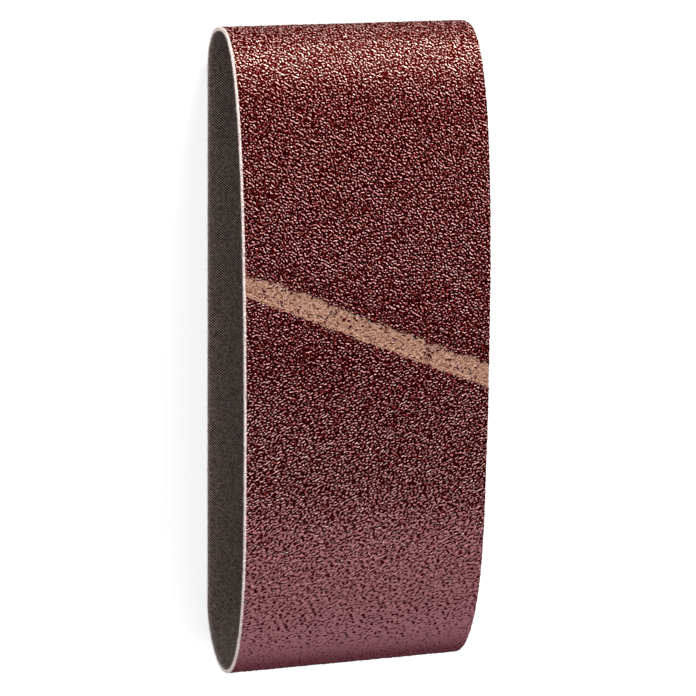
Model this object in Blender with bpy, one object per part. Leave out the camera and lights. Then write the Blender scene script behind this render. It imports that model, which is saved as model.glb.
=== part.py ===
"""Cloth-backed sanding belt for a hand-held belt sander, lying on a flat surface.

The belt is an endless loop. X runs across its width, Y along the loop and Z up. The origin is on
the surface that the belt lies on, under the middle of the loop. A strip of coarse abrasive cloth
is closed by a slanted lap splice on its upper wall: the grain is ground off the inner ply, and the
outer ply is glued over it.
"""

import math

import bmesh
import bpy
import numpy as np
from mathutils import Vector
from mathutils.geometry import interpolate_bezier

# The belt, in metres
BELT_WIDTH = 0.075
BELT_LENGTH = 0.457  # round the inside of the cloth, as belts are sold
CLOTH_THICKNESS = 0.00075
COAT_THICKNESS = 0.00055  # make coat, grain and size coat together
BOND_GAP = 0.00005  # between the cloth and what is bonded to it

# The shape that the loop takes, measured on the inside of the cloth
INSIDE_HEIGHT = 0.05205  # at the crown of the upper wall
CROWN_SHIFT = -0.0416  # from the loop's middle towards the near turn
FAR_TURN_REACH = 0.01435  # from the end of the resting stretch to the far turn's outermost point
FAR_TURN_HEIGHT = 0.0208  # of that point above the resting stretch
NEAR_TURN_REACH = 0.0121
NEAR_TURN_HEIGHT = 0.0171

# How full each quarter of the loop is drawn, where 0.552 is a circle's or an ellipse's
FAR_LOWER_FULLNESS = 0.587
FAR_UPPER_FULLNESS = 0.689
NEAR_UPPER_FULLNESS = 0.619
NEAR_LOWER_FULLNESS = 0.513

# The lap splice
SPLICE_Y = 0.0140  # of the outer ply's cut end, at the middle of the width
SPLICE_SLANT = math.radians(23.4)  # away from square across the belt
BARE_BAND = 0.0068  # ground free of grain beside the outer ply, along the belt
GRIND_RUN = 0.0020  # over which the grain fades out into the bare band
LAP_LENGTH = 0.010  # how far the plies overlap
PLY_STEP = 0.00025  # thickness left at each ply's skived end
STEP_RUN = 0.0003  # slope of a skived end
LAP_SETTLE = 0.012  # over which the belt comes back to one ply's line
GLUE_THICKNESS = 0.00012
GLUE_CLEARANCE = 0.0001  # from the glue film to the grain and to the outer ply
GLUE_FILLET = 0.001  # over which the glue rises to the outer ply's end
COAT_FEATHER = 0.0001  # thickness of the coat and of the glue at their feathered ends

# How finely the loop is drawn
KNOT_SAMPLES = 96
WIDTH_COLUMNS = 7
MOST_TURN = math.radians(3.5)  # between one station and the next
MOST_SPACING = 0.016
FINE_SAMPLES = 2000  # from which the stations are picked
FIT_ROUNDS = 30  # in which the span settles, each one closer to the belt's length
SHARP_EDGE = math.radians(30)
SLANT_FADE = 0.034  # over which the stations come back square beyond the splice

WALL = CLOTH_THICKNESS + BOND_GAP + COAT_THICKNESS
EDGE_SLOPE = math.tan(SPLICE_SLANT)


def clear_scene():
    for obj in list(bpy.data.objects):
        bpy.data.objects.remove(obj, do_unlink=True)


def loop_line(span):
    """Points of the cloth's inside line for a loop of this span.

    They run from the near end of the resting stretch round by the far turn.
    """
    far, near = span / 2, -span / 2
    rest_near = Vector((0, near + NEAR_TURN_REACH, 0))
    rest_far = Vector((0, far - FAR_TURN_REACH, 0))
    far_point = Vector((0, far, FAR_TURN_HEIGHT))
    crown = Vector((0, CROWN_SHIFT, INSIDE_HEIGHT))
    near_point = Vector((0, near, NEAR_TURN_HEIGHT))
    along, up = Vector((0, 1, 0)), Vector((0, 0, 1))

    def quarter(start, leaving, end, arriving, fullness):
        """A quarter turn that leaves along one axis and arrives along the other."""
        reach = end - start
        return (
            start,
            start + leaving * (reach.dot(leaving) * fullness),
            end - arriving * (reach.dot(arriving) * fullness),
            end,
        )

    third = (rest_far - rest_near) / 3
    pieces = [
        (rest_near, rest_near + third, rest_far - third, rest_far),
        quarter(rest_far, along, far_point, up, FAR_LOWER_FULLNESS),
        quarter(far_point, up, crown, along, FAR_UPPER_FULLNESS),
        quarter(crown, along, near_point, up, NEAR_UPPER_FULLNESS),
        quarter(near_point, up, rest_near, along, NEAR_LOWER_FULLNESS),
    ]
    points = []
    for piece in pieces:
        points += interpolate_bezier(*piece, KNOT_SAMPLES + 1)[:-1]
    points.append(points[0])
    return np.array([(p.y, p.z) for p in points])


def line_length(points):
    return float(np.hypot(*np.diff(points, axis=0).T).sum())


def fitted_loop():
    """The loop's line, as long as the belt: the span grows or shrinks until the length is right."""
    span = BELT_LENGTH / 2
    for _ in range(FIT_ROUNDS):
        points = loop_line(span)
        span += (BELT_LENGTH - line_length(points)) / 2
    return points


class Loop:
    """The inside line of the belt, by distance from the middle of the outer ply's cut end.

    Distance grows from the splice towards the near turn, along the rest and back by the far turn.
    """

    def __init__(self):
        points = fitted_loop()
        steps = np.diff(points, axis=0)
        self.length = line_length(points)
        travelled = np.concatenate([[0.0], np.cumsum(np.hypot(*steps.T))])
        heading = np.unwrap(np.arctan2(steps[:, 1], steps[:, 0]))
        middles = (travelled[1:] + travelled[:-1]) / 2
        # One turn is added before and after, so that any distance can be read
        self.travelled = np.concatenate([travelled[:-1] + k * self.length for k in (-1, 0, 1)])
        self.points = np.concatenate([points[:-1]] * 3)
        self.middles = np.concatenate([middles + k * self.length for k in (-1, 0, 1)])
        self.heading = np.concatenate([heading + 2 * math.pi * k for k in (-1, 0, 1)])
        self.splice_at = self.upper_wall_distance(points, travelled)

    def upper_wall_distance(self, points, travelled):
        """Where the upper wall, whose line runs towards -Y, passes SPLICE_Y."""
        upper = np.arange(2 * KNOT_SAMPLES, 4 * KNOT_SAMPLES)
        return float(np.interp(-SPLICE_Y, -points[upper, 0], travelled[upper]))

    def at(self, distance):
        """(y, z) and the outward normal at a distance from the splice."""
        s = (distance + self.splice_at) % self.length
        y = np.interp(s, self.travelled, self.points[:, 0])
        z = np.interp(s, self.travelled, self.points[:, 1])
        angle = np.interp(s, self.middles, self.heading)
        return y, z, math.sin(angle), -math.cos(angle)

    def stations(self, start, end):
        """Distances from start to end, close together where the loop turns."""
        fine = np.linspace(start, end, FINE_SAMPLES)
        s = (fine + self.splice_at) % self.length
        turns = (fine + self.splice_at) // self.length
        angle = np.interp(s, self.middles, self.heading) + 2 * math.pi * turns
        effort = np.abs(np.diff(angle)) / MOST_TURN + np.diff(fine) / MOST_SPACING
        effort = np.concatenate([[0.0], np.cumsum(effort)])
        count = max(2, math.ceil(effort[-1]) + 1)
        return list(np.interp(np.linspace(0, effort[-1], count), effort, fine))


def cloth_faces(distance):
    """Offsets of the cloth's inside and outside faces from the loop's line.

    The distance is along the belt, from the outer ply's cut end.
    """
    lap_end = LAP_LENGTH + STEP_RUN
    settled = lap_end + LAP_SETTLE
    inside = np.interp(distance, [LAP_LENGTH, lap_end, settled], [0, PLY_STEP, 0])
    raised = np.interp(distance, [-STEP_RUN, 0, lap_end, settled], [0, PLY_STEP, PLY_STEP, 0])
    return float(inside), float(CLOTH_THICKNESS + raised)


def splice_marks():
    """Distances at which the splice's own faces change direction.

    They go from the bare band to the end of the lap.
    """
    lap_end = LAP_LENGTH + STEP_RUN
    return {
        "grain_ends": -BARE_BAND,
        "grain_full": -BARE_BAND - GRIND_RUN,
        "step_foot": -STEP_RUN,
        "step_top": 0.0,
        "ply_ends": LAP_LENGTH,
        "ply_ended": lap_end,
        "settled": lap_end + LAP_SETTLE,
    }


def slanted(distance, x, length):
    """The distance at x across the belt of a station that has this distance at the middle of the width.

    The stations at the splice lie along its slant, and away from it they come back square.
    """
    marks = splice_marks()
    past_lap = distance - marks["settled"]
    before_grinding = length + marks["grain_full"] - distance
    away = max(0.0, min(past_lap, before_grinding))
    return distance + x * EDGE_SLOPE * max(0.0, 1 - away / SLANT_FADE)


def loft(name, loop, stations, closed, material):
    """A layer of the belt, lofted across its width.

    stations holds (distance, lower offset, upper offset). A closed layer runs all round the loop,
    and an open one has an end face at each end. The faces are triangles, cut the same way in each
    layer, so that two layers lie evenly on each other.
    """
    mesh = bmesh.new()
    columns = []
    for x in np.linspace(-BELT_WIDTH / 2, BELT_WIDTH / 2, WIDTH_COLUMNS):
        lower, upper = [], []
        for distance, low, high in stations:
            y, z, ny, nz = loop.at(slanted(distance, x, loop.length))
            lower.append(mesh.verts.new((x, y + ny * low, z + WALL + nz * low)))
            upper.append(mesh.verts.new((x, y + ny * high, z + WALL + nz * high)))
        columns.append((lower, upper))

    def quad(a, b, c, d):
        mesh.faces.new((a, b, c))
        mesh.faces.new((a, c, d))

    count = len(stations)
    pairs = [(i, (i + 1) % count) for i in range(count if closed else count - 1)]
    for (lower, upper), (next_lower, next_upper) in zip(columns, columns[1:]):
        for i, j in pairs:
            quad(upper[i], next_upper[i], next_upper[j], upper[j])
            quad(lower[j], next_lower[j], next_lower[i], lower[i])
        if not closed:
            quad(lower[0], next_lower[0], next_upper[0], upper[0])
            quad(upper[-1], next_upper[-1], next_lower[-1], lower[-1])
    for i, j in pairs:
        lower, upper = columns[0]
        quad(lower[i], upper[i], upper[j], lower[j])
        lower, upper = columns[-1]
        quad(lower[j], upper[j], upper[i], lower[i])
    bmesh.ops.recalc_face_normals(mesh, faces=mesh.faces)
    data = bpy.data.meshes.new(name)
    mesh.to_mesh(data)
    mesh.free()
    data.shade_smooth()
    data.set_sharp_from_angle(angle=SHARP_EDGE)
    data.materials.append(material)
    obj = bpy.data.objects.new(name, data)
    bpy.context.scene.collection.objects.link(obj)
    return obj


def finish(name, colour, roughness):
    """A Principled BSDF material in one linear colour."""
    material = bpy.data.materials.new(name)
    material.use_nodes = True
    shader = material.node_tree.nodes["Principled BSDF"]
    shader.inputs["Base Color"].default_value = (*colour, 1)
    shader.inputs["Roughness"].default_value = roughness
    shader.inputs["Metallic"].default_value = 0
    material.diffuse_color = (*colour, 1)
    return material


def round_the_belt(loop):
    """Distances of the stations that the cloth and the coat share.

    They go from the settled lap round to the ground grain.
    """
    marks = splice_marks()
    return loop.stations(marks["settled"], loop.length + marks["grain_full"])


def make_cloth(loop, material):
    marks = splice_marks()
    distances = [marks[n] for n in ("grain_ends", "step_foot", "step_top", "ply_ends", "ply_ended")]
    distances += round_the_belt(loop)
    stations = [(d, *cloth_faces(d)) for d in distances]
    return loft("backing_cloth", loop, stations, True, material)


def make_coat(loop, material):
    marks = splice_marks()
    distances = [marks[n] for n in ("step_top", "ply_ends", "ply_ended")] + round_the_belt(loop)
    stations = []
    for distance in distances:
        bond = cloth_faces(distance)[1] + BOND_GAP
        stations.append((distance, bond, bond + COAT_THICKNESS))
    # The ground end lies on the inner ply, where the cloth has its plain thickness
    bond = CLOTH_THICKNESS + BOND_GAP
    stations.append((loop.length + marks["grain_ends"], bond, bond + COAT_FEATHER))
    return loft("abrasive_coat", loop, stations, False, material)


def make_glue(loop, material):
    """The glue film on the bare band, drawn up against the outer ply's end."""
    marks = splice_marks()
    start = marks["grain_ends"] + GLUE_CLEARANCE
    end = marks["step_foot"] - GLUE_CLEARANCE
    bond = CLOTH_THICKNESS + BOND_GAP
    top = bond + GLUE_THICKNESS
    fillet = end - GLUE_FILLET
    stations = [
        (start, bond, bond + COAT_FEATHER),
        (start + STEP_RUN, bond, top),
        (fillet, bond, top),
        (end, bond, CLOTH_THICKNESS + PLY_STEP),
    ]
    return loft("splice_glue", loop, stations, False, material)


def main():
    clear_scene()
    loop = Loop()
    make_cloth(loop, finish("cotton backing", (0.051, 0.036, 0.032), 0.9))
    make_coat(loop, finish("coarse red-brown grain", (0.127, 0.032, 0.030), 0.45))
    make_glue(loop, finish("tan splice glue", (0.328, 0.150, 0.102), 0.6))


main()
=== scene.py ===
import math

import bpy
import numpy as np
from mathutils import Matrix, Vector


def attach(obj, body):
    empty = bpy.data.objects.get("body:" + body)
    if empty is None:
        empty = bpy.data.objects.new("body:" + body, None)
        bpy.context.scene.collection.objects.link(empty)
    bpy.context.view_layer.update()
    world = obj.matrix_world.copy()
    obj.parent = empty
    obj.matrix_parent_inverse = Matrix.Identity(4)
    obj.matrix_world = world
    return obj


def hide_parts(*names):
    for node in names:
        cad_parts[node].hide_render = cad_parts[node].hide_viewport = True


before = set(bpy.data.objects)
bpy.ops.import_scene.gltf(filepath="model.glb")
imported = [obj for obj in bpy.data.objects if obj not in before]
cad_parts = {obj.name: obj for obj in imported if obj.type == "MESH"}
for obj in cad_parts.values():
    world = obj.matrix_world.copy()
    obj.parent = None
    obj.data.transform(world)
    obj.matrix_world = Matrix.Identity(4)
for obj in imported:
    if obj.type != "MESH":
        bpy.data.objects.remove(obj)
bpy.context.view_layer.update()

# A coarse sanding belt that lies on its flat wall. Sizes are in metres.
# s is the distance along the belt from the outer ply's cut end, towards the near turn,
# and x runs across the belt.
mm = 0.001

belt = {
    "width": 75 * mm,
    "length": 457 * mm,  # round the inside of the cloth
    "cloth": 0.75 * mm,
    "coat": 0.60 * mm,  # room over the cloth for the tallest grain
    "insideHeight": 52.05 * mm,
    "crownShift": -41.6 * mm,
    "farReach": 14.35 * mm,
    "farHeight": 20.8 * mm,
    "nearReach": 12.1 * mm,
    "nearHeight": 17.1 * mm,
    "farLowerFullness": 0.587,
    "farUpperFullness": 0.689,
    "nearUpperFullness": 0.619,
    "nearLowerFullness": 0.513,
}

splice = {
    "y": 14.0 * mm,  # of the outer ply's cut end, at the middle of the width
    "slant": math.radians(23.4),
    "bareBand": 6.8 * mm,
    "raggedRun": 4.5 * mm,  # over which the ground edge of the grain wanders
    "lap": 10 * mm,
    "plyStep": 0.25 * mm,
    "stepRun": 0.3 * mm,
    "settle": 12 * mm,
    "slantFade": 34 * mm,
}
wall = belt["cloth"] + belt["coat"]
slope = math.tan(splice["slant"])


# The loop

lineSamples = 400  # in the resting stretch and in each of the four quarters
fitRounds = 30


def bezier(a, b, c, d):
    t = np.linspace(0, 1, lineSamples + 1)[:-1, None]
    return (1 - t) ** 3 * a + 3 * (1 - t) ** 2 * t * b + 3 * (1 - t) * t * t * c + t ** 3 * d


def loopLine(span):
    # The cloth's inside line, from the resting stretch round by the far turn
    far, near = span / 2, -span / 2
    restNear = np.array([near + belt["nearReach"], 0.0])
    restFar = np.array([far - belt["farReach"], 0.0])
    farPoint = np.array([far, belt["farHeight"]])
    crown = np.array([belt["crownShift"], belt["insideHeight"]])
    nearPoint = np.array([near, belt["nearHeight"]])
    along, up = np.array([1.0, 0.0]), np.array([0.0, 1.0])

    def quarter(start, leaving, end, arriving, fullness):
        reach = end - start
        return bezier(
            start,
            start + leaving * (reach @ leaving) * fullness,
            end - arriving * (reach @ arriving) * fullness,
            end,
        )

    third = (restFar - restNear) / 3
    parts = [
        bezier(restNear, restNear + third, restFar - third, restFar),
        quarter(restFar, along, farPoint, up, belt["farLowerFullness"]),
        quarter(farPoint, up, crown, along, belt["farUpperFullness"]),
        quarter(crown, along, nearPoint, up, belt["nearUpperFullness"]),
        quarter(nearPoint, up, restNear, along, belt["nearLowerFullness"]),
    ]
    return np.concatenate(parts + [parts[0][:1]])


def lineLength(points):
    return float(np.hypot(*np.diff(points, axis=0).T).sum())


def wallIndices(upperWall):
    # Points of the line on the upper or the resting wall
    first, last = (2, 4) if upperWall else (0, 1)
    return np.arange(first * lineSamples, last * lineSamples)


def fitLoop():
    # Distances, points and headings of the loop whose inside is as long as the belt
    span = belt["length"] / 2
    for _ in range(fitRounds):
        points = loopLine(span)
        span += (belt["length"] - lineLength(points)) / 2
    steps = np.diff(points, axis=0)
    travelled = np.concatenate([[0.0], np.cumsum(np.hypot(*steps.T))])
    heading = np.unwrap(np.arctan2(steps[:, 1], steps[:, 0]))
    upper = wallIndices(True)
    spliceAt = float(np.interp(-splice["y"], -points[upper, 0], travelled[upper]))
    return points, travelled, heading, spliceAt


linePoints, lineTravelled, lineHeading, spliceAt = fitLoop()
loopLength = lineTravelled[-1]


def onBelt(s, x, offset):
    # Places on the belt, at a distance outwards from the cloth's inside
    at = (s + spliceAt) % loopLength
    middles = (lineTravelled[1:] + lineTravelled[:-1]) / 2
    middles = np.concatenate([middles - loopLength, middles, middles + loopLength])
    headings = np.concatenate([lineHeading - 2 * np.pi, lineHeading, lineHeading + 2 * np.pi])
    angle = np.interp(at, middles, headings)
    y = np.interp(at, lineTravelled, linePoints[:, 0]) + np.sin(angle) * offset
    z = np.interp(at, lineTravelled, linePoints[:, 1]) - np.cos(angle) * offset
    return np.stack([np.broadcast_to(x, y.shape), y, z + wall], axis=-1)


def distanceOf(y, upperWall):
    # The distance from the splice at which the line passes y, on the upper or the resting wall
    which = wallIndices(upperWall)
    ys, ats = linePoints[which, 0], lineTravelled[which]
    if upperWall:
        ys, ats = ys[::-1], ats[::-1]
    return (float(np.interp(y, ys, ats)) - spliceAt) % loopLength


lapEnd = splice["lap"] + splice["stepRun"]
settled = lapEnd + splice["settle"]
bandStart = -splice["bareBand"] - splice["raggedRun"]


def slanted(s, x):
    # Rows near the splice lie along its slant, and away from it they come back square
    away = np.maximum(0, np.minimum(s - settled, loopLength + bandStart - s))
    return s + x * slope * np.maximum(0, 1 - away / splice["slantFade"])


def clothFaces(s):
    # Offsets of the cloth's inside and outside, with the two plies' steps at the lap
    wrapped = np.where(s > loopLength / 2, s - loopLength, s)
    inside = np.interp(wrapped, [splice["lap"], lapEnd, settled], [0, splice["plyStep"], 0])
    raised = np.interp(
        wrapped,
        [-splice["stepRun"], 0, lapEnd, settled],
        [0, splice["plyStep"], splice["plyStep"], 0],
    )
    return inside, belt["cloth"] + raised


def softStep(t):
    t = np.clip(t, 0, 1)
    return t * t * (3 - 2 * t)


def between(value, start, end):
    # 0 before start, 1 past end, and soft between them
    return softStep((value - start) / (end - start))


# Noise that repeats from run to run

noiseCells = 256
noiseShift = (40.0, 120.0)  # in features, away from the middle of the belt
coarseShare = 0.6  # of a noise in two sizes


def lattice(seed, shape):
    return np.random.default_rng(seed).random(shape)


def smoothNoise(s, x, size, seed):
    # Value noise between 0 and 1, with features of about this size
    table = lattice(seed, (noiseCells, noiseCells))
    u, v = s / size + noiseShift[0], x / size + noiseShift[1]
    i, j = np.floor(u).astype(int), np.floor(v).astype(int)
    fu, fv = softStep(u - i), softStep(v - j)
    i0, i1, j0, j1 = i % noiseCells, (i + 1) % noiseCells, j % noiseCells, (j + 1) % noiseCells
    low = table[i0, j0] * (1 - fv) + table[i0, j1] * fv
    high = table[i1, j0] * (1 - fv) + table[i1, j1] * fv
    return low * (1 - fu) + high * fu


def twoNoises(s, x, coarseSize, fineSize, seed):
    coarse = smoothNoise(s, x, coarseSize, seed)
    fine = smoothNoise(s, x, fineSize, seed + 1)
    return coarse * coarseShare + fine * (1 - coarseShare)


grain = {
    "pitch": 0.98 * mm,  # of the resin-coated grains
    "height": 0.34 * mm,
    "chipPitch": 0.55 * mm,  # edges and chips on them
    "chipHeight": 0.07 * mm,
    "make": 0.07 * mm,  # resin between the grains
    "missing": 0.06,  # share of worn grains
    "wornTop": 0.15,
    "tops": (0.55, 0.45),  # least height and how much it varies
    "halfLengths": (0.50, 0.28),  # in pitches
    "roundness": (0.55, 0.4),  # half width by half length
    "jitter": 0.75,  # of a grain in its cell
    "lean": 0.8,
    "warp": 0.35 * mm,
    "warpSize": 1.1 * mm,
    "crowding": (0.92, 0.16),
    "crowdSize": 4 * mm,
    "edgeNick": 0.16 * mm,
    "nickSize": 0.5 * mm,
    "nickSkew": 0.65,
    "step": 0.29 * mm,  # of the mesh where the grain shows
    "undersideStep": 0.6 * mm,
    "quickStep": 0.6 * mm,
    "quickUndersideStep": 1.2 * mm,
    "seed": 11,
    "warpSeed": 21,
    "crowdSeed": 23,
    "nickSeed": 31,
}
grainCells = 512
grainShift = (60.0, 80.0)  # in pitches
drawsPerGrain = 9


def scatteredGrains(s, x, pitch, seed, missing):
    # Rounded, leaning grains, one in each cell of a jittered grid, as heights between 0 and 1
    random = lattice(seed, (drawsPerGrain, grainCells, grainCells))
    u, v = s / pitch + grainShift[0], x / pitch + grainShift[1]
    i, j = np.floor(u).astype(int), np.floor(v).astype(int)
    leastLength, moreLength = grain["halfLengths"]
    leastRoundness, moreRoundness = grain["roundness"]
    leastTop, moreTop = grain["tops"]
    best = np.zeros_like(u)
    for di in (-1, 0, 1):
        for dj in (-1, 0, 1):
            a, b = (i + di) % grainCells, (j + dj) % grainCells
            r = random[:, a, b]
            du = u - (i + di + 0.5 + grain["jitter"] * (r[0] - 0.5))
            dv = v - (j + dj + 0.5 + grain["jitter"] * (r[1] - 0.5))
            turn = r[2] * np.pi
            p = du * np.cos(turn) + dv * np.sin(turn)
            q = dv * np.cos(turn) - du * np.sin(turn)
            longHalf = leastLength + moreLength * r[3]
            shortHalf = longHalf * (leastRoundness + moreRoundness * r[4])
            top = np.where(r[5] < missing, grain["wornTop"], leastTop + moreTop * r[6])
            dome = np.sqrt(np.clip(1 - (p / longHalf) ** 2 - (q / shortHalf) ** 2, 0, 1))
            leanP = grain["lean"] * (r[7] - 0.5) * p / longHalf
            leanQ = grain["lean"] * (r[8] - 0.5) * q / shortHalf
            best = np.maximum(best, top * dome * (1 + leanP + leanQ))
    return best


def grainRise(s, x):
    # Height of the resin-coated grain over the cloth
    warpS = s + grain["warp"] * (smoothNoise(s, x, grain["warpSize"], grain["warpSeed"]) - 0.5)
    warpX = x + grain["warp"] * (smoothNoise(s, x, grain["warpSize"], grain["warpSeed"] + 1) - 0.5)
    beads = scatteredGrains(warpS, warpX, grain["pitch"], grain["seed"], grain["missing"])
    chips = scatteredGrains(warpS, warpX, grain["chipPitch"], grain["seed"] + 1, grain["missing"])
    least, more = grain["crowding"]
    crowd = least + more * smoothNoise(s, x, grain["crowdSize"], grain["crowdSeed"])
    return grain["make"] + grain["height"] * beads * crowd + grain["chipHeight"] * chips


# Meshes

def makeMesh(name, verts, faces, slots, smooth, uvs, attributes, materials):
    # faces is a list of (n, k) index arrays, and slots, smooth and uvs go with each of them
    mesh = bpy.data.meshes.new(name)
    mesh.vertices.add(len(verts))
    mesh.vertices.foreach_set("co", np.asarray(verts, np.float32).ravel())
    loops = np.concatenate([f.ravel() for f in faces])
    sizes = np.concatenate([np.full(len(f), f.shape[1]) for f in faces])
    mesh.loops.add(len(loops))
    mesh.loops.foreach_set("vertex_index", loops.astype(np.int32))
    mesh.polygons.add(len(sizes))
    starts = np.concatenate([[0], np.cumsum(sizes)[:-1]])
    mesh.polygons.foreach_set("loop_start", starts.astype(np.int32))
    mesh.update(calc_edges=True)
    perFace = np.concatenate([np.full(len(f), k) for f, k in zip(faces, slots)])
    mesh.polygons.foreach_set("material_index", perFace.astype(np.int32))
    shaded = np.concatenate([np.full(len(f), k) for f, k in zip(faces, smooth)])
    mesh.polygons.foreach_set("use_smooth", shaded.astype(bool))
    layer = mesh.uv_layers.new(name="OFBake")
    flatUvs = np.concatenate([u.reshape(-1, 2) for u in uvs])
    layer.uv.foreach_set("vector", flatUvs.astype(np.float32).ravel())
    for key, values in attributes.items():
        flat = values.astype(np.float32).ravel()
        if values.ndim == 1:
            mesh.attributes.new(key, "FLOAT", "POINT").data.foreach_set("value", flat)
        else:
            mesh.attributes.new(key, "FLOAT_VECTOR", "POINT").data.foreach_set("vector", flat)
    for material in materials:
        mesh.materials.append(material)
    obj = bpy.data.objects.new(name, mesh)
    bpy.context.scene.collection.objects.link(obj)
    return obj


def gridQuads(index):
    a, b, c, d = index[:-1, :-1], index[:-1, 1:], index[1:, 1:], index[1:, :-1]
    return np.stack([a, b, c, d], axis=-1).reshape(-1, 4)


def quadUvs(u, v):
    return np.stack([
        np.stack([u[:-1, :-1], v[:-1, :-1]], -1),
        np.stack([u[:-1, 1:], v[:-1, 1:]], -1),
        np.stack([u[1:, 1:], v[1:, 1:]], -1),
        np.stack([u[1:, :-1], v[1:, :-1]], -1),
    ], axis=2).reshape(-1, 4, 2)


edges = ((0, -1), (-1, 1))  # the first and the last column, and which way is out


def acrossBelt(columns):
    return np.linspace(-belt["width"] / 2, belt["width"] / 2, columns)[None, :]


# Where a coat's faces lie on its map: the relief, then the side walls, the underside and the ends
coatMap = {
    "reliefWidth": 0.90,
    "reliefLength": 0.95,
    "leftWall": 0.91,
    "rightWall": 0.94,
    "underside": 0.97,
    "stripWidth": 0.02,
    "firstEnd": 0.96,
    "lastEnd": 0.98,
    "endGap": 0.005,
    "endHeight": 0.01,
}


shadeRuns = {  # where each shade starts and where it is full, along the belt's length or in height
    "nearLength": (60 * mm, -40 * mm),
    # keylit: painted light on the far turn where the key light falls, lighter and warmer with pale cream
    # painted glints
    "keylitLength": (84 * mm, 96 * mm),
    "keylitEndLength": (96 * mm, 102 * mm),
    "keylitStrength": (0.85, 0.8),  # at its most, and the share lost at the turn's end
    # sheen: painted sheen over the near turn, where the grain is seen at a grazing angle
    "sheenLength": (18 * mm, -94 * mm),
    "sheenHeight": (18 * mm, 38 * mm),
    "fullSheenLength": (-62 * mm, -92 * mm),
    "fullSheen": 0.28,
    "underShadeHeight": (48 * mm, 37 * mm),
    "underShadeLength": (-70 * mm, -82 * mm),
}


def coatShades(y, z):
    # How the resin's look changes round the belt, with its painted light, painted sheen and painted
    # shade, as weights from 0 to 1 or a little over
    runs = shadeRuns
    most, lost = runs["keylitStrength"]
    bloom = between(y, *runs["sheenLength"]) * between(z, *runs["sheenHeight"])
    return {
        "near": between(y, *runs["nearLength"]),
        # Painted light, strongest on the far turn that faces the key light
        "warm": most * between(y, *runs["keylitLength"]) * (1 - lost * between(y, *runs["keylitEndLength"])),
        "bloom": bloom * (1 + runs["fullSheen"] * between(y, *runs["fullSheenLength"])),
        # low is painted shade under the near turn, where the light does not reach
        "low": between(z, *runs["underShadeHeight"]) * between(y, *runs["underShadeLength"]),
    }


def coatShell(name, sStart, sEnd, step, riseOf, materials):
    # A closed layer of grain between two distances: relief above, plain underneath, cut at its edges
    rows = max(3, int(math.ceil((sEnd - sStart) / step)) + 1)
    columns = int(math.ceil(belt["width"] / step)) + 1
    base = np.linspace(sStart, sEnd, rows)[:, None]
    x = np.broadcast_to(acrossBelt(columns), (rows, columns)).copy()
    s = slanted(base, x)
    bond = np.broadcast_to(clothFaces(base)[1], (rows, columns))
    rise, bare = riseOf(s, x)
    for number, (side, sign) in enumerate(edges):  # the cut edges are not quite straight
        nick = smoothNoise(s[:, side], s[:, side] * 0, grain["nickSize"], grain["nickSeed"] + number)
        x[:, side] += sign * grain["edgeNick"] * (nick - grain["nickSkew"])
    top = onBelt(s, x, bond + rise)
    under = onBelt(s[:, [0, -1]], x[:, [0, -1]], bond[:, [0, -1]])
    index = np.arange(rows * columns).reshape(rows, columns)
    low = rows * columns + np.arange(rows * 2).reshape(rows, 2)
    leftWall = np.stack([low[:, 0], index[:, 0]], axis=1)
    rightWall = np.stack([index[:, -1], low[:, 1]], axis=1)
    u = np.linspace(0, coatMap["reliefWidth"], columns)[None, :] * np.ones((rows, 1))
    v = np.linspace(0, coatMap["reliefLength"], rows)[:, None] * np.ones((1, columns))
    strip = v[:, :2]
    narrow = np.ones((rows, 1)) * np.array([[0.0, coatMap["stripWidth"]]])
    endFaces, endUvs = [], []
    for row, flip, lift in ((0, False, coatMap["firstEnd"]), (rows - 1, True, coatMap["lastEnd"])):
        ring = np.concatenate([index[row], low[row, ::-1]])
        ringU = np.concatenate([u[0], [coatMap["reliefWidth"], 0.0]])
        profile = lift + coatMap["endGap"] + coatMap["endHeight"] * rise[row] / belt["coat"]
        ringV = np.concatenate([profile, [lift, lift]])
        if not flip:
            ring, ringU, ringV = ring[::-1], ringU[::-1], ringV[::-1]
        endFaces.append(ring[None, :])
        endUvs.append(np.stack([ringU, ringV], axis=1)[None])
    faces = [
        gridQuads(index)[:, ::-1],
        gridQuads(leftWall)[:, ::-1],
        gridQuads(rightWall)[:, ::-1],
        gridQuads(low),
    ] + endFaces
    uvs = [
        quadUvs(u, v)[:, ::-1],
        quadUvs(coatMap["leftWall"] + narrow, strip)[:, ::-1],
        quadUvs(coatMap["rightWall"] + narrow, strip)[:, ::-1],
        quadUvs(coatMap["underside"] + narrow, strip),
    ] + endUvs
    verts = np.concatenate([top.reshape(-1, 3), under.reshape(-1, 3)])
    fill = np.zeros(rows * 2)
    shades = coatShades(top[..., 1], top[..., 2])
    shades["rise"] = rise / belt["coat"]
    shades["bare"] = bare
    attributes = {key: np.concatenate([values.ravel(), fill]) for key, values in shades.items()}
    place = np.stack([s, x, s * 0], axis=-1)
    attributes["place"] = np.concatenate([place.reshape(-1, 3), place[:, [0, -1]].reshape(-1, 3)])
    slots = [0, 1, 1, 0, 0, 0]
    smooth = [True, False, False, False, False, False]
    return makeMesh(name, verts, faces, slots, smooth, uvs, attributes, materials)


def plainRise(s, x):
    return grainRise(s, x), np.zeros_like(x)


cutEnd = {
    "leastRun": 0.2 * mm,  # over which the ground grain rises again
    "moreRun": 2.6 * mm,
    "raggedness": (1.7 * mm, 0.6 * mm),
    "leastHeight": 0.10 * mm,
    "leastShare": 0.3,  # of each grain's own height, left at the cut
    "curve": 1.5,
    "dust": (1.15, -1.3),  # at the cut, and the change to where the grain is whole
    "seed": 46,
}


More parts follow.
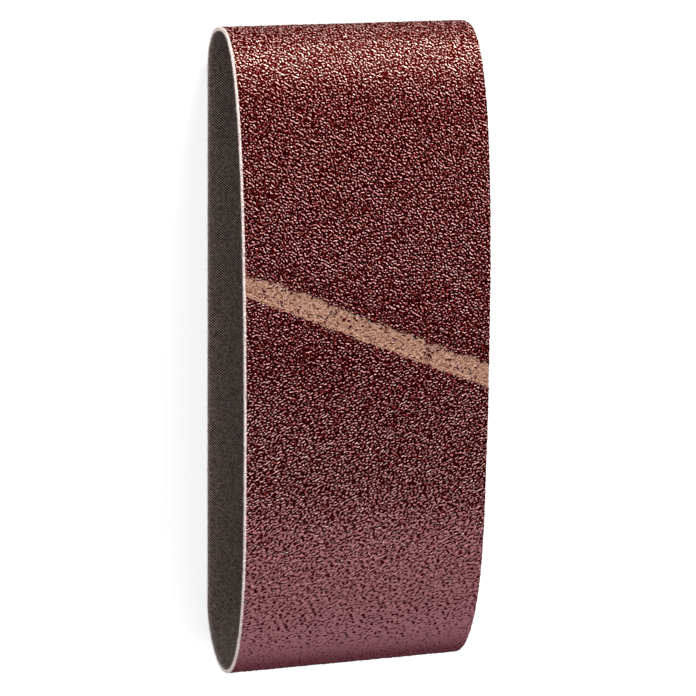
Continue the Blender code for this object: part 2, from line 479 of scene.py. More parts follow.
def cutEndRise(s, x):
    # The outer ply's end was ground too, so its first grains are low and dusty
    rise = grainRise(s, x)
    ragged = twoNoises(s, x, *cutEnd["raggedness"], cutEnd["seed"])
    whole = np.clip((s - x * slope) / (cutEnd["moreRun"] * ragged + cutEnd["leastRun"]), 0, 1)
    low = cutEnd["leastHeight"] + cutEnd["leastShare"] * rise
    height = low + (rise - low) * whole ** cutEnd["curve"]
    atCut, change = cutEnd["dust"]
    return height, np.clip(atCut + change * whole, 0, 1)


groundBand = {
    "step": 0.2 * mm,  # of the mesh
    "edgeShift": 0.5 * mm,
    "edgeWander": 2.6 * mm,
    "edgeBlur": 0.9 * mm,
    "raggedness": (2.6 * mm, 0.9 * mm),
    "glue": 0.05 * mm,
    "glueSize": 0.5 * mm,
    "leftPitch": 0.80 * mm,  # of the grains that the grinding left
    "leftSqueeze": 0.8,  # of their grid along the belt, which draws them out
    "leftMissing": 0.5,
    "leftPatch": 1.5 * mm,
    "leftFrom": 0.62,  # the patches' noise has to be over this
    "leftGain": 1.8,
    "leftHeight": 0.16 * mm,
    "leftTop": 0.7,
    "leftCover": 0.85,  # how much of the tan they hide
    "dust": 0.55,
    "dustRun": 3.2 * mm,  # over which the grain beside the band is dusty
    "dustSize": 0.8 * mm,
    "raggedSeed": 41,
    "leftSeed": 43,
    "patchSeed": 44,
    "glueSeed": 45,
    "dustSeed": 48,
}


def bandRise(s, x):
    # The ground band: grain up to a ragged line, then bare cloth with glue and a few grains left
    ground = groundBand
    rise = grainRise(s, x)
    ragged = twoNoises(s, x, *ground["raggedness"], ground["raggedSeed"])
    line = -splice["bareBand"] + ground["edgeShift"] + ground["edgeWander"] * (ragged - 0.5)
    past = s - x * slope - line
    bare = np.clip(past / ground["edgeBlur"] + 0.5, 0, 1)
    dust = np.clip(1 + past / ground["dustRun"], 0, 1)
    dust = dust * smoothNoise(s, x, ground["dustSize"], ground["dustSeed"])
    left = scatteredGrains(s * ground["leftSqueeze"], x, ground["leftPitch"], ground["leftSeed"],
                           ground["leftMissing"])
    patches = smoothNoise(s, x, ground["leftPatch"], ground["patchSeed"]) > ground["leftFrom"]
    left = np.clip(left * patches * ground["leftGain"], 0, 1)
    glue = ground["glue"] * (1 + smoothNoise(s, x, ground["glueSize"], ground["glueSeed"]))
    groundHeight = glue + ground["leftHeight"] * np.minimum(left, ground["leftTop"])
    height = rise * (1 - bare) + groundHeight * bare
    return height, np.maximum(bare * (1 - ground["leftCover"] * left), ground["dust"] * dust)


backing = {
    "rows": 560,
    "columns": 61,
    "edgeLayers": 4,
    "fray": 0.10 * mm,
    "fraySkew": 0.6,
    "frayPitch": 0.45 * mm,
    "threadPitch": 0.4 * mm,
    "layerShift": 3 * mm,  # between the noises of the edge's layers
    "fraySeed": 51,
    "threadSeed": 53,
}
clothMap = {  # the stretch of the map's width that each side of the cloth takes
    "inside": (0, 0.86),
    "leftEdge": (0.87, 0.91),
    "rightEdge": (0.92, 0.96),
    "back": (0.97, 1.0),
}


def clothRing(materials):
    # The cloth strip: twill inside, plain under the grain, and pale at its cut edges
    columns, depth, fray = backing["columns"], backing["edgeLayers"], backing["fray"]
    base = np.linspace(0, loopLength, backing["rows"], endpoint=False)
    marks = np.array([-splice["stepRun"], splice["lap"], lapEnd, settled]) % loopLength
    base = np.sort(np.concatenate([base, marks]))[:, None]
    rows = len(base)
    x = np.broadcast_to(acrossBelt(columns), (rows, columns)).copy()
    s = slanted(base, x)
    inner, outer = (np.broadcast_to(f, (rows, columns)) for f in clothFaces(base))
    for number, (side, sign) in enumerate(edges):
        seed = backing["fraySeed"] + number
        wander = smoothNoise(s[:, side], s[:, side] * 0, backing["frayPitch"], seed)
        x[:, side] += sign * fray * (wander - backing["fraySkew"])
    inside = onBelt(s, x, inner)
    layers = []
    for side, sign in edges:
        for k in range(1, depth):
            part = k / (depth - 1)
            offset = inner[:, side] * (1 - part) + outer[:, side] * part
            row = s[:, side] * 0 + k * backing["layerShift"]
            thread = smoothNoise(s[:, side], row, backing["threadPitch"], backing["threadSeed"] + k)
            place = x[:, side] + sign * fray * (thread - 0.5) * (k < depth - 1)
            layers.append(onBelt(s[:, side], place, offset))
    verts = np.concatenate([inside.reshape(-1, 3)] + layers)
    index = np.arange(rows * columns).reshape(rows, columns)
    start = rows * columns
    rims = [start + rows * k + np.arange(rows) for k in range(2 * (depth - 1))]

    def closed(grid):
        return np.concatenate([grid, grid[:1]])

    leftWall = closed(np.stack([index[:, 0]] + rims[:depth - 1], axis=1))
    rightWall = closed(np.stack([index[:, -1]] + rims[depth - 1:], axis=1))
    back = closed(np.stack([rims[depth - 2], rims[-1]], axis=1))
    index = closed(index)
    count = rows + 1
    v = np.linspace(0, 1, count)[:, None]

    def flatUvs(side, width):
        u = np.linspace(*clothMap[side], width)[None, :] * np.ones((count, 1))
        return quadUvs(u, v * np.ones((1, width)))

    faces = [
        gridQuads(index),
        gridQuads(leftWall)[:, ::-1],
        gridQuads(rightWall),
        gridQuads(back)[:, ::-1],
    ]
    uvs = [
        flatUvs("inside", columns),
        flatUvs("leftEdge", depth)[:, ::-1],
        flatUvs("rightEdge", depth),
        flatUvs("back", 2)[:, ::-1],
    ]
    slots = [0, 1, 1, 1]
    smooth = [True, False, False, True]
    return makeMesh("backing", verts, faces, slots, smooth, uvs, {}, materials)


fuzz = {
    "perMetre": 12000,
    "length": (0.18 * mm, 0.75 * mm),
    "shortness": 2.5,  # a higher one makes long ends rarer
    "radius": 0.036 * mm,
    "taper": 0.8,
    "lean": 0.55,
    "bend": 0.6,
    "bendAt": 0.55,  # of the length
    "overCoat": 0.25 * mm,  # how far past the cloth the ends root
    "rooted": 0.05 * mm,
    "seed": 71,
    "mapSeed": 5,
}
spikeSides = 3
spikeCorners = 2 * spikeSides + 1


def edgeFuzz(name, side, materials):
    # Short cotton ends that stand out of a cut edge, each a bent three-sided spike
    random = np.random.default_rng(fuzz["seed"] + side)
    count = int(fuzz["perMetre"] * loopLength)
    s = random.random(count) * loopLength
    x = np.full(count, side * belt["width"] / 2)
    inner, outer = clothFaces(s)
    depth = inner + (outer - inner + fuzz["overCoat"]) * random.random(count)
    root = onBelt(s, x - side * fuzz["rooted"], depth)
    normal = onBelt(s, x, depth + 1 * mm) - onBelt(s, x, depth)
    normal /= np.linalg.norm(normal, axis=1)[:, None]
    out = np.array([side, 0.0, 0.0])[None, :] * np.ones((count, 1))
    along = np.cross(normal, out)
    lean = random.normal(0, fuzz["lean"], (count, 2))
    lowest, highest = fuzz["length"]
    length = (lowest + (highest - lowest) * random.random(count) ** fuzz["shortness"])[:, None]
    first = out + lean[:, :1] * along + lean[:, 1:] * normal
    first /= np.linalg.norm(first, axis=1)[:, None]
    bend = random.normal(0, fuzz["bend"], (count, 2))
    second = first + bend[:, :1] * along + bend[:, 1:] * normal
    second /= np.linalg.norm(second, axis=1)[:, None]
    middle = root + first * length * fuzz["bendAt"]
    tip = middle + second * length * (1 - fuzz["bendAt"])
    for end in (middle, tip):
        end[:, 2] = np.maximum(end[:, 2], fuzz["radius"])
    rings = []
    for centre, scale in ((root, 1.0), (middle, fuzz["taper"])):
        for k in range(spikeSides):
            angle = 2 * math.pi * k / spikeSides
            spoke = math.cos(angle) * along + math.sin(angle) * normal
            rings.append(centre + spoke * fuzz["radius"] * scale)
    verts = np.stack(rings + [tip], axis=1).reshape(-1, 3)
    start = (np.arange(count) * spikeCorners)[:, None]
    quads, tips = [], []
    for k in range(spikeSides):
        beside = (k + 1) % spikeSides
        quads.append(start + np.array([[k, beside, spikeSides + beside, spikeSides + k]]))
        tips.append(start + np.array([[spikeSides + k, spikeSides + beside, spikeCorners - 1]]))
    butt = start + np.arange(spikeSides)[None, ::-1]
    faces = [np.concatenate(quads), np.concatenate(tips + [butt])]
    if side < 0:
        faces = [f[:, ::-1] for f in faces]
    uvs = [lattice(fuzz["mapSeed"], (len(f), f.shape[1], 2)) for f in faces]
    return makeMesh(name, verts, faces, [0, 0], [True, True], uvs, {}, materials)


# Nodes

def newMaterial(name):
    material = bpy.data.materials.new(name)
    material.use_nodes = True
    tree = material.node_tree
    return material, tree, tree.nodes["Principled BSDF"]


def link(tree, source, target):
    tree.links.new(source, target)


def feed(tree, value, socket):
    # Another node's output is linked, and anything else is set on the socket
    if hasattr(value, "is_output"):
        link(tree, value, socket)
    elif isinstance(value, tuple) and len(value) < len(socket.default_value):
        socket.default_value = (*value, 1)
    else:
        socket.default_value = value


def addNode(tree, kind, **values):
    node = tree.nodes.new(kind)
    for key, value in values.items():
        if hasattr(node, key):
            setattr(node, key, value)
        else:
            node.inputs[key].default_value = value
    return node


def attribute(tree, name):
    return addNode(tree, "ShaderNodeAttribute", attribute_name=name).outputs


def ramp(tree, source, stops):
    node = tree.nodes.new("ShaderNodeValToRGB")
    elements = node.color_ramp.elements
    while len(elements) < len(stops):
        elements.new(0.5)
    for element, (position, colour) in zip(elements, stops):
        element.position = position
        element.color = (*colour, 1)
    link(tree, source, node.inputs["Fac"])
    return node.outputs["Color"]


def objectNoise(tree, scale, detail, roughness):
    place = addNode(tree, "ShaderNodeTexCoord")
    noise = addNode(tree, "ShaderNodeTexNoise", Scale=scale, Detail=detail, Roughness=roughness)
    link(tree, place.outputs["Object"], noise.inputs["Vector"])
    return noise.outputs["Fac"]


def mixColour(tree, factor, first, second):
    node = addNode(tree, "ShaderNodeMix", data_type="RGBA")
    for socket, value in zip((node.inputs[0], node.inputs[6], node.inputs[7]), (factor, first, second)):
        feed(tree, value, socket)
    return node.outputs[2]


def maths(tree, operation, first, second=0.0, clamp=False):
    node = addNode(tree, "ShaderNodeMath", operation=operation, use_clamp=clamp)
    for socket, value in zip(node.inputs, (first, second)):
        feed(tree, value, socket)
    return node.outputs[0]


def multiplyAdd(tree, value, factor, addend):
    result = maths(tree, "MULTIPLY_ADD", value, factor)
    feed(tree, addend, result.node.inputs[2])
    return result


def remap(tree, source, span, low=0.0, high=1.0, kind="SMOOTHSTEP"):
    node = addNode(tree, "ShaderNodeMapRange", interpolation_type=kind)
    labels = ("Value", "From Min", "From Max", "To Min", "To Max")
    for label, value in zip(labels, (source, *span, low, high)):
        feed(tree, value, node.inputs[label])
    return node.outputs["Result"]


beadRandomness = 0.72


def scatter(tree, vector, scale):
    node = addNode(tree, "ShaderNodeTexVoronoi", voronoi_dimensions="2D", Scale=scale,
                   Randomness=beadRandomness)
    link(tree, vector, node.inputs["Vector"])
    return node.outputs


def addBump(tree, height, shader, strength, distance):
    bump = addNode(tree, "ShaderNodeBump", Strength=strength, Distance=distance)
    link(tree, height, bump.inputs["Height"])
    link(tree, bump.outputs["Normal"], shader.inputs["Normal"])


floatKind, colourKind = "NodeSocketFloat", "NodeSocketColor"


def shaderGroup(name, inputs, outputs):
    tree = bpy.data.node_groups.new(name, "ShaderNodeTree")
    for label, value in inputs.items():
        socket = tree.interface.new_socket(label, in_out="INPUT", socket_type=floatKind)
        socket.default_value = value
    for label, kind in outputs.items():
        tree.interface.new_socket(label, in_out="OUTPUT", socket_type=kind)
    return tree, tree.nodes.new("NodeGroupInput").outputs, tree.nodes.new("NodeGroupOutput").inputs


def useGroup(tree, group, values):
    node = tree.nodes.new("ShaderNodeGroup")
    node.node_tree = group
    for label, value in values.items():
        feed(tree, value, node.inputs[label])
    return node.outputs


# The resin over the grain. Folds are given as angle, stretch, fineness and beading.

resin = {
    "foldScale": 1600.0,
    "foldSpan": (0.27, 0.73),
    "beadScale": 1180,
    "beadSpan": (0.05, 0.65),
    "farFolds": (math.radians(58), 1.01, 1.0, 0.30),
    "nearFolds": (math.radians(115), 1.16, 0.96, 0.42),
    "middleLevel": 0.48,
    "blendContrast": 1.66,  # makes up for what mixing the two folds takes away
    # Offsets towards the light, for the painted highlight on each fold's lit side and the painted shade
    # on its other side
    "farLightOffset": (-0.13 * mm, 0.09 * mm, 0),
    "nearLightOffset": (-0.14 * mm, -0.08 * mm, 0),
    "litSideContrast": (1.12, -0.12),  # on the far half, and what the near half adds to it
    "riseSpan": (0.15, 0.55),
    "hollowShadeLevels": (0.90, 1.04),
    "tone": {"level": 0.35, "near": 0.062, "warm": 0.075, "base": 0.283},  # what each adds
    # The gaps are the dark resin between the folds, painted darker still as painted shade in these
    # hollows
    "gap": (0.018, 0.0001, 0.0001),
    "keylitGap": (0.07, 0.003, 0.0015),
    "body": [
        (0.43, (0.040, 0.0002, 0.0002)),
        (0.55, (0.14, 0.009, 0.007)),
        (0.69, (0.30, 0.069, 0.065)),
    ],
    # Painted highlights: pale pink colours on the fold tops stand in for the gloss's reflection of the
    # lamps
    "farHighlight": (0.79, 0.445, 0.435),
    "nearHighlight": (0.74, 0.395, 0.385),
    "keylitHighlight": (0.97, 0.73, 0.62),
    "highlightSpan": (0.67, 0.90),
    "standingSpan": (0.47, 0.61),
    "roughnessSpan": (0.2, 0.6),
    "roughness": (0.8, 0.35),
    "coatSpan": (0.60, 0.85),
    "keylitCoat": -0.4,
    "coatRoughness": 0.2,
    "coatIor": 1.6,
}

# Painted sheen: a flat mauve colour stands in for the near turn's sheen, with dashes of painted shadow
# and painted shade under the turn; its dust entry is this sheen's colour
paintedSheen = {
    "dashes": (math.radians(114), 1.5, 0.78, 0.0),
    "finerDashes": (math.radians(112), 1.25, 1.3, 0.0),
    "dust": (0.415, 0.170, 0.192),
    "shadedSheen": (0.22, 0.064, 0.082),
    "dashShadow": (0.058, 0.002, 0.004),
    "shadedGrain": (0.014, 0.0006, 0.001),
    "shading": 0.4,
    "openFrom": (-0.60, 0.90),  # what the painted sheen takes off, and where it starts without it
    "openTo": (-0.56, 0.94),
    "onset": 0.5,  # below 1 the first of the painted sheen shows sooner
    "deepening": 3.0,  # over 1 the dashes of painted shadow darken late
    "flattening": -0.8,
}


def foldPattern(tree, place, folds):
    # Rounded grains and folds, drawn out at an angle to the belt's length
    angle, stretch, fineness, beading = folds
    laid = addNode(tree, "ShaderNodeMapping", vector_type="TEXTURE", Rotation=(0, 0, angle),
                   Scale=(stretch, 1 / stretch, 1))
    link(tree, place, laid.inputs["Vector"])
    waves = addNode(tree, "ShaderNodeTexNoise", noise_dimensions="2D",
                    Scale=resin["foldScale"] * fineness, Detail=0.0)
    link(tree, laid.outputs["Vector"], waves.inputs["Vector"])
    fold = remap(tree, waves.outputs["Fac"], resin["foldSpan"], kind="LINEAR")
    beads = scatter(tree, laid.outputs["Vector"], resin["beadScale"] * fineness)
    cone = remap(tree, beads["Distance"], resin["beadSpan"], 1, 0)
    return multiplyAdd(tree, cone, beading, maths(tree, "MULTIPLY", fold, 1 - beading))


def foldLevel(tree, place, near):
    # Folds lean one way on the far half of the belt and the other way on the near half
    far = foldPattern(tree, place, resin["farFolds"])
    close = foldPattern(tree, place, resin["nearFolds"])
    away = maths(tree, "SUBTRACT", 1.0, near)
    both = maths(tree, "MULTIPLY", near, away)
    mixed = multiplyAdd(tree, close, near, maths(tree, "MULTIPLY", far, away))
    centred = maths(tree, "SUBTRACT", mixed, resin["middleLevel"])
    contrast = multiplyAdd(tree, both, resin["blendContrast"], 1.0)
    return multiplyAdd(tree, centred, contrast, resin["middleLevel"])


def resinTone(tree, level, litSide, given):
    # The tone carries painted light: the lit side and the key-lit far turn raise it, and the body
    # colours and highlights are read from it
    tone = resin["tone"]
    base = multiplyAdd(tree, given["Warm"], tone["warm"], tone["base"])
    base = multiplyAdd(tree, given["Near"], tone["near"], base)
    return multiplyAdd(tree, level, tone["level"], maths(tree, "ADD", litSide, base))


def sheenCover(tree, place, level, given):
    # A painted mauve sheen closes over the grain towards the near turn, down to short dashes
    coarse = foldPattern(tree, place, paintedSheen["dashes"])
    finer = foldPattern(tree, place, paintedSheen["finerDashes"])
    high = maths(tree, "SUBTRACT", 1.0, given["Low"])
    dashes = multiplyAdd(tree, finer, given["Low"], maths(tree, "MULTIPLY", coarse, high))
    full = maths(tree, "MINIMUM", given["Bloom"], 1.0)
    away = maths(tree, "SUBTRACT", 1.0, given["Bloom"], True)
    uncovered = multiplyAdd(tree, dashes, full, maths(tree, "MULTIPLY", level, away))
    start = multiplyAdd(tree, given["Bloom"], *paintedSheen["openFrom"])
    end = multiplyAdd(tree, given["Bloom"], *paintedSheen["openTo"])
    closing = remap(tree, uncovered, (start, end))
    strength = maths(tree, "POWER", given["Bloom"], paintedSheen["onset"])
    return maths(tree, "MULTIPLY", strength, closing), high


def resinGrain():
    # Glossy folds of resin over the grain, each painted paler on its side that faces the light (painted
    # highlight) and darker on its other side (painted shade)
    tree, given, out = shaderGroup(
        "resin-coated grain",
        {"Rise": 0.5, "Bloom": 0.0, "Near": 0.5, "Warm": 0.0, "Low": 0.0},
        {"Colour": colourKind, "Roughness": floatKind, "Coat": floatKind, "Height": floatKind,
         "Level": floatKind},
    )
    place = attribute(tree, "place")["Vector"]
    lightOffset = addNode(tree, "ShaderNodeMix", data_type="VECTOR")
    link(tree, given["Near"], lightOffset.inputs[0])
    lightOffset.inputs[4].default_value = resin["farLightOffset"]
    lightOffset.inputs[5].default_value = resin["nearLightOffset"]
    ahead = addNode(tree, "ShaderNodeVectorMath", operation="ADD")
    link(tree, place, ahead.inputs[0])
    link(tree, lightOffset.outputs[1], ahead.inputs[1])
    level = foldLevel(tree, place, given["Near"])
    beyond = foldLevel(tree, ahead.outputs[0], given["Near"])
    farContrast, nearContrast = resin["litSideContrast"]
    contrast = multiplyAdd(tree, given["Near"], nearContrast, farContrast)
    # Painted light: positive on a fold's side that faces the light, negative on its shaded side
    litSide = maths(tree, "MULTIPLY", maths(tree, "SUBTRACT", level, beyond), contrast)
    # Painted shade: the pattern is darkened where the grain's mesh is low, in its hollows
    lift = remap(tree, given["Rise"], resin["riseSpan"], *resin["hollowShadeLevels"])
    level = maths(tree, "MULTIPLY", level, lift)
    tone = resinTone(tree, level, litSide, given)

    # Where the key light falls on the far turn, the gaps and highlights are painted lighter and warmer
    gap = mixColour(tree, given["Warm"], resin["gap"], resin["keylitGap"])
    # Painted highlight on the folds' lit tops, brighter on the far half
    highlight = mixColour(tree, given["Near"], resin["farHighlight"], resin["nearHighlight"])
    highlight = mixColour(tree, given["Warm"], highlight, resin["keylitHighlight"])
    body = ramp(tree, tone, resin["body"])
    body = mixColour(tree, remap(tree, tone, resin["highlightSpan"]), body, highlight)
    colour = mixColour(tree, remap(tree, level, resin["standingSpan"]), gap, body)

    sheenShare, high = sheenCover(tree, place, level, given)
    # Under the full sheen the grain is painted one dark red, the painted shadows that show as dashes
    deep = maths(tree, "MINIMUM", maths(tree, "POWER", given["Bloom"], paintedSheen["deepening"]), 1.0)
    colour = mixColour(tree, deep, colour, paintedSheen["dashShadow"])
    # Painted shade under the near turn: the grain darkens and loses its gloss where Low is high
    shaded = maths(tree, "MULTIPLY", given["Low"], paintedSheen["shading"])
    colour = mixColour(tree, shaded, colour, paintedSheen["shadedGrain"])
    # dust here is the painted sheen's colour, darker where painted shade falls under the turn
    dust = mixColour(tree, given["Low"], paintedSheen["dust"], paintedSheen["shadedSheen"])
    link(tree, mixColour(tree, sheenShare, colour, dust), out["Colour"])

    link(tree, remap(tree, level, resin["roughnessSpan"], *resin["roughness"]), out["Roughness"])
    keylitCoat = multiplyAdd(tree, given["Warm"], resin["keylitCoat"], 1.0)
    coat = maths(tree, "MULTIPLY", remap(tree, tone, resin["coatSpan"]), keylitCoat)
    coat = maths(tree, "MULTIPLY", coat, maths(tree, "SUBTRACT", 1.0, sheenShare, True))
    link(tree, maths(tree, "MULTIPLY", coat, high), out["Coat"])
    flattened = multiplyAdd(tree, sheenShare, paintedSheen["flattening"], 1.0)
    link(tree, maths(tree, "MULTIPLY", level, flattened), out["Height"])
    link(tree, level, out["Level"])
    return tree


cotton = {
    "colours": [
        (0.38, (0.43, 0.22, 0.19)),
        (0.47, (0.87, 0.71, 0.67)),
        (0.62, (0.97, 0.90, 0.88)),
    ],
}


def cottonLint():
    # Pale cotton with grey-red roots, as it shows at a cut
    tree, given, out = shaderGroup("cotton lint", {"Fibre": 0.5, "Clean": 0.0}, {"Colour": colourKind})
    colour = ramp(tree, maths(tree, "ADD", given["Fibre"], given["Clean"]), cotton["colours"])
    link(tree, colour, out["Colour"])
    return tree


# The ground band and the torn cotton over the grain's cut edge

bandLook = {
    "fine": (2000, 4.0, 0.75),  # scale, detail and roughness of the noise
    "tan": [
        (0.36, (0.06, 0.008, 0.004)),
        (0.43, (0.19, 0.076, 0.048)),
        (0.50, (0.33, 0.170, 0.120)),
        (0.58, (0.54, 0.340, 0.255)),
    ],
    "speck": (0.055, 0.008, 0.005),
    "speckScale": 520,
    "speckAngle": 0.6,
    "speckStretch": (1.5, 0.6, 1),
    "speckBlur": 0.3,
    "speckSpan": (0.28, 0.36),
    "speckShare": (0.35, 0.4),
    "grainLeft": -0.35,  # high grain keeps its resin at the band's edge
    "patchiness": 1.3,
    "coverSpan": (0.92, 1.10),
    "tornSpan": (-36.8 * mm, -36.5 * mm),  # across the belt, at its left edge
    "tornWander": 0.6 * mm,
    "roughness": 0.3,
    "relief": 0.3,
    "bump": 0.26 * mm,
}


def bandTan(tree, fine, place):
    # Tan glue film with dark specks and short scratches left in it
    tan = ramp(tree, fine, bandLook["tan"])
    lean = addNode(tree, "ShaderNodeMapping", Rotation=(0, 0, bandLook["speckAngle"]),
                   Scale=bandLook["speckStretch"])
    link(tree, place, lean.inputs["Vector"])
    specks = scatter(tree, lean.outputs["Vector"], bandLook["speckScale"])
    blurred = multiplyAdd(tree, fine, bandLook["speckBlur"], specks["Distance"])
    spot = remap(tree, blurred, bandLook["speckSpan"], 1, 0)
    chosen = remap(tree, specks["Color"], bandLook["speckShare"])
    return mixColour(tree, maths(tree, "MULTIPLY", spot, chosen), tan, bandLook["speck"])


def grainMaterial(resinGroup, cottonGroup):
    material, tree, shader = newMaterial("resin-coated grain")
    weights = {label: attribute(tree, label.lower())["Fac"]
               for label in ("Rise", "Bloom", "Near", "Warm", "Low")}
    bare = attribute(tree, "bare")["Fac"]
    place = attribute(tree, "place")["Vector"]
    beads = useGroup(tree, resinGroup, weights)
    fine = objectNoise(tree, *bandLook["fine"])
    tan = bandTan(tree, fine, place)
    patchy = multiplyAdd(tree, beads["Level"], bandLook["grainLeft"], bare)
    patchy = multiplyAdd(tree, fine, bandLook["patchiness"], patchy)
    cover = remap(tree, patchy, bandLook["coverSpan"])
    surface = mixColour(tree, cover, beads["Colour"], tan)
    split = addNode(tree, "ShaderNodeSeparateXYZ")
    link(tree, place, split.inputs[0])
    torn = multiplyAdd(tree, fine, bandLook["tornWander"], split.outputs["Y"])
    torn = remap(tree, torn, bandLook["tornSpan"], 1, 0)
    lint = useGroup(tree, cottonGroup, {"Fibre": fine})
    link(tree, mixColour(tree, torn, surface, lint["Colour"]), shader.inputs["Base Color"])
    dull = multiplyAdd(tree, cover, bandLook["roughness"], beads["Roughness"])
    link(tree, dull, shader.inputs["Roughness"])
    covered = maths(tree, "SUBTRACT", 1.0, cover, True)
    link(tree, maths(tree, "MULTIPLY", covered, beads["Coat"]), shader.inputs["Coat Weight"])
    shader.inputs["Specular IOR Level"].default_value = 0.0
    shader.inputs["Coat Roughness"].default_value = resin["coatRoughness"]
    shader.inputs["Coat IOR"].default_value = resin["coatIor"]
    relief = maths(tree, "MULTIPLY", covered, beads["Height"])
    addBump(tree, multiplyAdd(tree, fine, bandLook["relief"], relief), shader, 1.0, bandLook["bump"])
    return material


edgeLook = {
    "fine": (2200, 3.0, 0.6),
    "clean": 0.04,
    "roughness": 0.85,
    "bumpStrength": 0.6,
    "bump": 0.1 * mm,
}


def edgeMaterial(cottonGroup):
    material, tree, shader = newMaterial("cut edge")
    fine = objectNoise(tree, *edgeLook["fine"])
    lint = useGroup(tree, cottonGroup, {"Fibre": fine, "Clean": edgeLook["clean"]})
    link(tree, lint["Colour"], shader.inputs["Base Color"])
    shader.inputs["Roughness"].default_value = edgeLook["roughness"]
    addBump(tree, fine, shader, edgeLook["bumpStrength"], edgeLook["bump"])
    return material


twill = {
    "rib": (0.90, 0.84),  # pitch across and along the belt, in millimetres
    "weft": (0.82, -0.80),
    "ribDepth": 0.27,
    "weftDepth": 0.24,
    "fine": (1300, 3.0, 0.75),
    "fineDepth": 1.1,
    "colours": [
        (0.30, (0.010, 0.006, 0.005)),
        (0.50, (0.090, 0.054, 0.049)),
        (0.68, (0.24, 0.175, 0.16)),
        (0.90, (0.70, 0.58, 0.53)),
    ],
    "roughness": 0.8,
    "bumpStrength": 0.7,
    "bump": 0.15 * mm,
}


def threadWave(tree, across, along, pitches):
    turns = multiplyAdd(tree, across, 1 / pitches[0], maths(tree, "MULTIPLY", along, 1 / pitches[1]))
    return maths(tree, "SINE", maths(tree, "MULTIPLY", turns, 2 * math.pi))


def twillMaterial():
    # Fine diagonal twill, drawn on the belt's own unrolled map
    material, tree, shader = newMaterial("backing twill")
    place = addNode(tree, "ShaderNodeUVMap", uv_map="OFBake")
    scaled = addNode(tree, "ShaderNodeMapping",
                     Scale=(belt["width"] / clothMap["inside"][1] / mm, loopLength / mm, 1))
    link(tree, place.outputs["UV"], scaled.inputs["Vector"])
    split = addNode(tree, "ShaderNodeSeparateXYZ")
    link(tree, scaled.outputs["Vector"], split.inputs[0])
    rib = threadWave(tree, split.outputs["X"], split.outputs["Y"], twill["rib"])
    weft = threadWave(tree, split.outputs["X"], split.outputs["Y"], twill["weft"])
    weave = multiplyAdd(tree, rib, twill["ribDepth"], maths(tree, "MULTIPLY", weft, twill["weftDepth"]))
    mixed = multiplyAdd(tree, objectNoise(tree, *twill["fine"]), twill["fineDepth"], weave)
    link(tree, ramp(tree, mixed, twill["colours"]), shader.inputs["Base Color"])
    shader.inputs["Roughness"].default_value = twill["roughness"]
    addBump(tree, mixed, shader, twill["bumpStrength"], twill["bump"])
    return material


# The belt's pieces

print("Materials")
cottonGroup = cottonLint()
grainFinish = grainMaterial(resinGrain(), cottonGroup)
edgeFinish = edgeMaterial(cottonGroup)
twillFinish = twillMaterial()
coatFinishes = [grainFinish, edgeFinish]

print("Grain")
fineStep = grain["step"]
coarseStep = grain["undersideStep"]
coatCuts = [  # the coat's lengths: name, where each ends, its mesh step and its relief
    ("grain_near_upper", distanceOf(-55 * mm, True), fineStep, cutEndRise),
    ("grain_near_turn", distanceOf(-88 * mm, False), fineStep, plainRise),
    ("grain_underside", distanceOf(86 * mm, False), coarseStep, plainRise),
    ("grain_far_turn", distanceOf(60 * mm, True), fineStep, plainRise),
    ("grain_far_upper", loopLength + bandStart, fineStep, plainRise),
]
pieces = []
start = 0
for name, end, step, riseOf in coatCuts:
    piece = coatShell(name, start, end, step, riseOf, coatFinishes)
    pieces.append((piece, "abrasive_coat", "grain"))
    start = end

print("Splice")
bandPiece = coatShell("splice_band", bandStart, 0, groundBand["step"], bandRise, coatFinishes)
pieces.append((bandPiece, "splice_glue", "glue"))

print("Backing")
pieces.append((clothRing([twillFinish, edgeFinish]), "backing_cloth", "cloth"))
for name, side in (("left_edge_fuzz", -1), ("right_edge_fuzz", 1)):
    pieces.append((edgeFuzz(name, side, [edgeFinish]), None, "cloth"))

for piece, node, slot in pieces:
    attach(piece, "root")
    if node:
        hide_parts(node)


# Floor, light and camera

studio = {
    "floorSize": 6,  # metres
    "floorDrop": -0.05 * mm,
    "floorColour": (0.40, 0.40, 0.40, 1),
    "floorRoughness": 0.9,
    "floorSeen": 0.76,  # added to the floor where the camera sees it
    "sky": 0.10,
    "skySeen": 0.90,
    "middle": (0, 0, 0.03),
    "lamps": [  # name, place, size, power and tint
        ("key light", (0.25, 1.18, 0.42), 0.34, 22, (1.0, 0.94, 0.88)),
        ("overhead", (0.10, 0.10, 1.20), 0.60, 3.5, (1, 1, 1)),
        ("near card", (0.20, -0.25, 1.15), 0.70, 4.6, (0.92, 0.95, 1.0)),
        ("left card", (-1.1, 0.15, 0.35), 0.7, 6, (1, 1, 1)),
    ],
}


def floorMaterial():
    # White to the camera, with the belt's own shadow kept
    material, tree, shader = newMaterial("floor")
    shader.inputs["Base Color"].default_value = studio["floorColour"]
    shader.inputs["Roughness"].default_value = studio["floorRoughness"]
    path = addNode(tree, "ShaderNodeLightPath").outputs
    seen = maths(tree, "MAXIMUM", path["Is Camera Ray"], path["Is Glossy Ray"])
    seen = maths(tree, "MAXIMUM", seen, path["Is Transmission Ray"])
    shader.inputs["Emission Color"].default_value = (1, 1, 1, 1)
    link(tree, maths(tree, "MULTIPLY", seen, studio["floorSeen"]), shader.inputs["Emission Strength"])
    return material


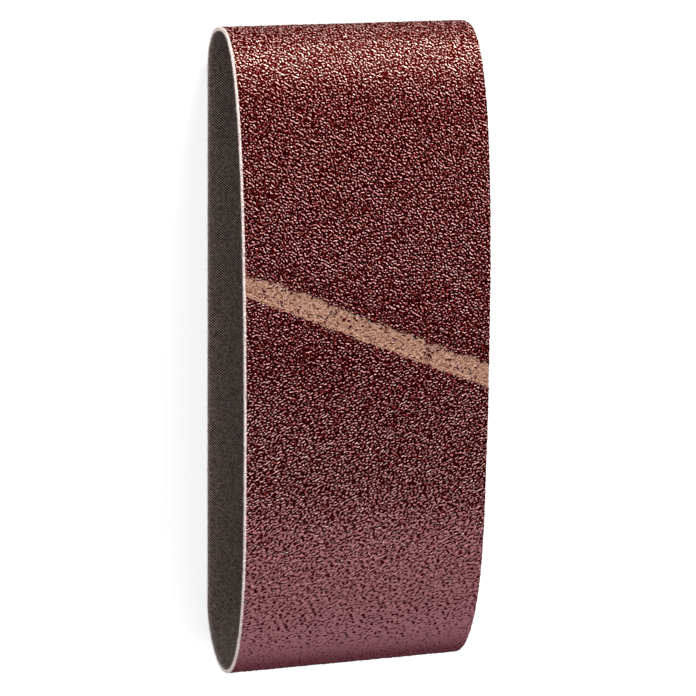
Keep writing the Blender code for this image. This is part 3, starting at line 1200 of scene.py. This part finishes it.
def paleWorld():
    world = bpy.data.worlds.new("studio")
    bpy.context.scene.world = world
    world.use_nodes = True
    tree = world.node_tree
    sky = tree.nodes["Background"]
    sky.inputs["Color"].default_value = (1, 1, 1, 1)
    path = addNode(tree, "ShaderNodeLightPath").outputs
    seen = maths(tree, "MAXIMUM", path["Is Camera Ray"], path["Is Transmission Ray"])
    link(tree, multiplyAdd(tree, seen, studio["skySeen"], studio["sky"]), sky.inputs["Strength"])


def areaLight(name, place, size, power, tint):
    data = bpy.data.lights.new(name, "AREA")
    data.shape = "DISK"
    data.size = size
    data.energy = power
    data.color = tint
    lamp = bpy.data.objects.new(name, data)
    lamp.location = place
    aim = Vector(studio["middle"]) - Vector(place)
    lamp.rotation_euler = aim.to_track_quat("-Z", "Y").to_euler()
    bpy.context.scene.collection.objects.link(lamp)


view = {
    "pitch": math.radians(17.399),
    "yaw": math.radians(15.172),
    "roll": math.radians(-1.045),
    "shift": (-0.10352, 0.05867, -10.3788),  # of the belt's middle, in belt widths
    "focal": 2462.5,  # in pixels of the frame
    "frame": 696,
    "sensor": 36,
}


def photoCamera():
    turn = (Matrix.Rotation(view["roll"], 3, "Z") @ Matrix.Rotation(view["pitch"], 3, "X")
            @ Matrix.Rotation(view["yaw"], 3, "Y"))
    back = turn.transposed()
    data = bpy.data.cameras.new("camera")
    data.sensor_width = view["sensor"]
    data.lens = view["focal"] / view["frame"] * data.sensor_width
    camera = bpy.data.objects.new("camera", data)
    place = back @ (-belt["width"] * Vector(view["shift"]))
    camera.matrix_world = Matrix.Translation(place) @ back.to_4x4()
    bpy.context.scene.collection.objects.link(camera)
    bpy.context.scene.camera = camera


print("Floor, light and camera")
bpy.ops.mesh.primitive_plane_add(size=studio["floorSize"], location=(0, 0, studio["floorDrop"]))
floor = bpy.context.object
floor.name = "floor"
floor.data.materials.append(floorMaterial())
paleWorld()
for lampValues in studio["lamps"]:
    areaLight(*lampValues)
photoCamera()
bpy.context.scene.view_settings.view_transform = "Standard"
